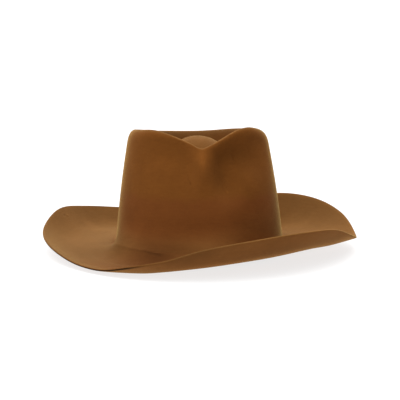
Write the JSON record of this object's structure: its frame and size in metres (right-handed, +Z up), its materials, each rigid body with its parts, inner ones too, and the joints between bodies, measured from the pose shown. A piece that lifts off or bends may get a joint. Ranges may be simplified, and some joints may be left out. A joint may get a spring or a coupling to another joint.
{
  "type": "felt hat",
  "caption": "Brown felt hat with a tall teardrop crown pinched at the front and a wide raw-edged brim that waves round it, turned up on the wearer's left.",
  "frame": {"origin": "on the table, under the middle of the hat's outline seen from above", "axes": "+Z up; -Y is the way the wearer looks, where the crown is pinched; +X is the wearer's left"},
  "size_m": [0.3254, 0.3652, 0.1319],
  "materials": {
    "felt": "matte brushed fur felt"
  },
  "bodies": {
    "root": {"felt_body": "felt"}
  },
  "joints": []
}
